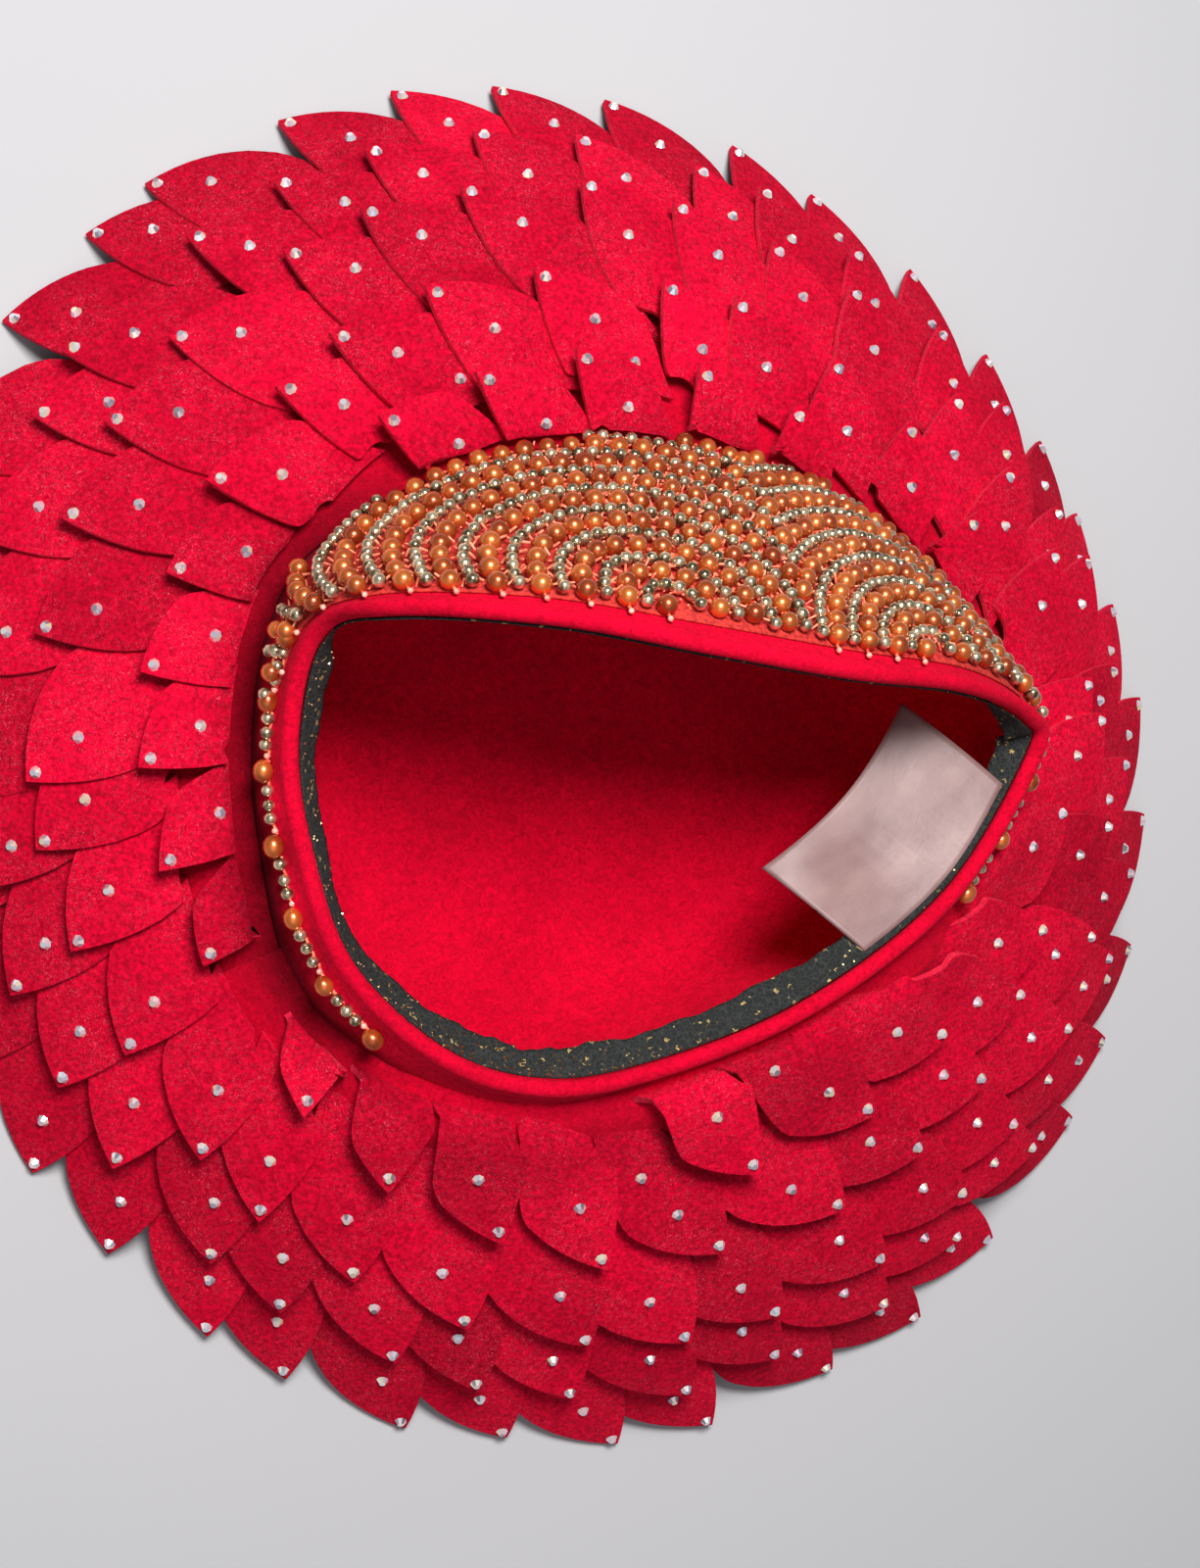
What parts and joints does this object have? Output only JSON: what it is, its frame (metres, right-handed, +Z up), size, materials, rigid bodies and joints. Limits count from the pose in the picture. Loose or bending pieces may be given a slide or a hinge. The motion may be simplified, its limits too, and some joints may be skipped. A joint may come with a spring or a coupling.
{
  "type": "beaded felt dress hat",
  "caption": "Wide domed felt hat covered in swirling rows of leaf petals, with a crescent of beadwork on one side of the open crown. It lies on its crown with the head opening up.",
  "frame": {"origin": "On the outside of the crown's flat tip, on the axis of the brim, where the hat rests", "axes": "+Z up out of the head opening, +X to the back of the head, +Y to the beaded side"},
  "size_m": [0.3837, 0.3888, 0.1359],
  "materials": {
    "felt": "matte wool felt",
    "petal_felt": "matte wool felt with cut edges",
    "beadwork": "pearls and foiled crystals",
    "lace": "stretch lace with metallic thread",
    "satin": "satin ribbon"
  },
  "bodies": {
    "root": {"crown": "felt", "brim": "felt", "petal_row_1": "petal_felt", "petal_row_2": "petal_felt", "petal_row_3": "petal_felt", "petal_row_4": "petal_felt", "petal_row_5": "petal_felt", "beaded_band": "beadwork", "inner_trim": "lace", "label": "satin"}
  },
  "joints": []
}
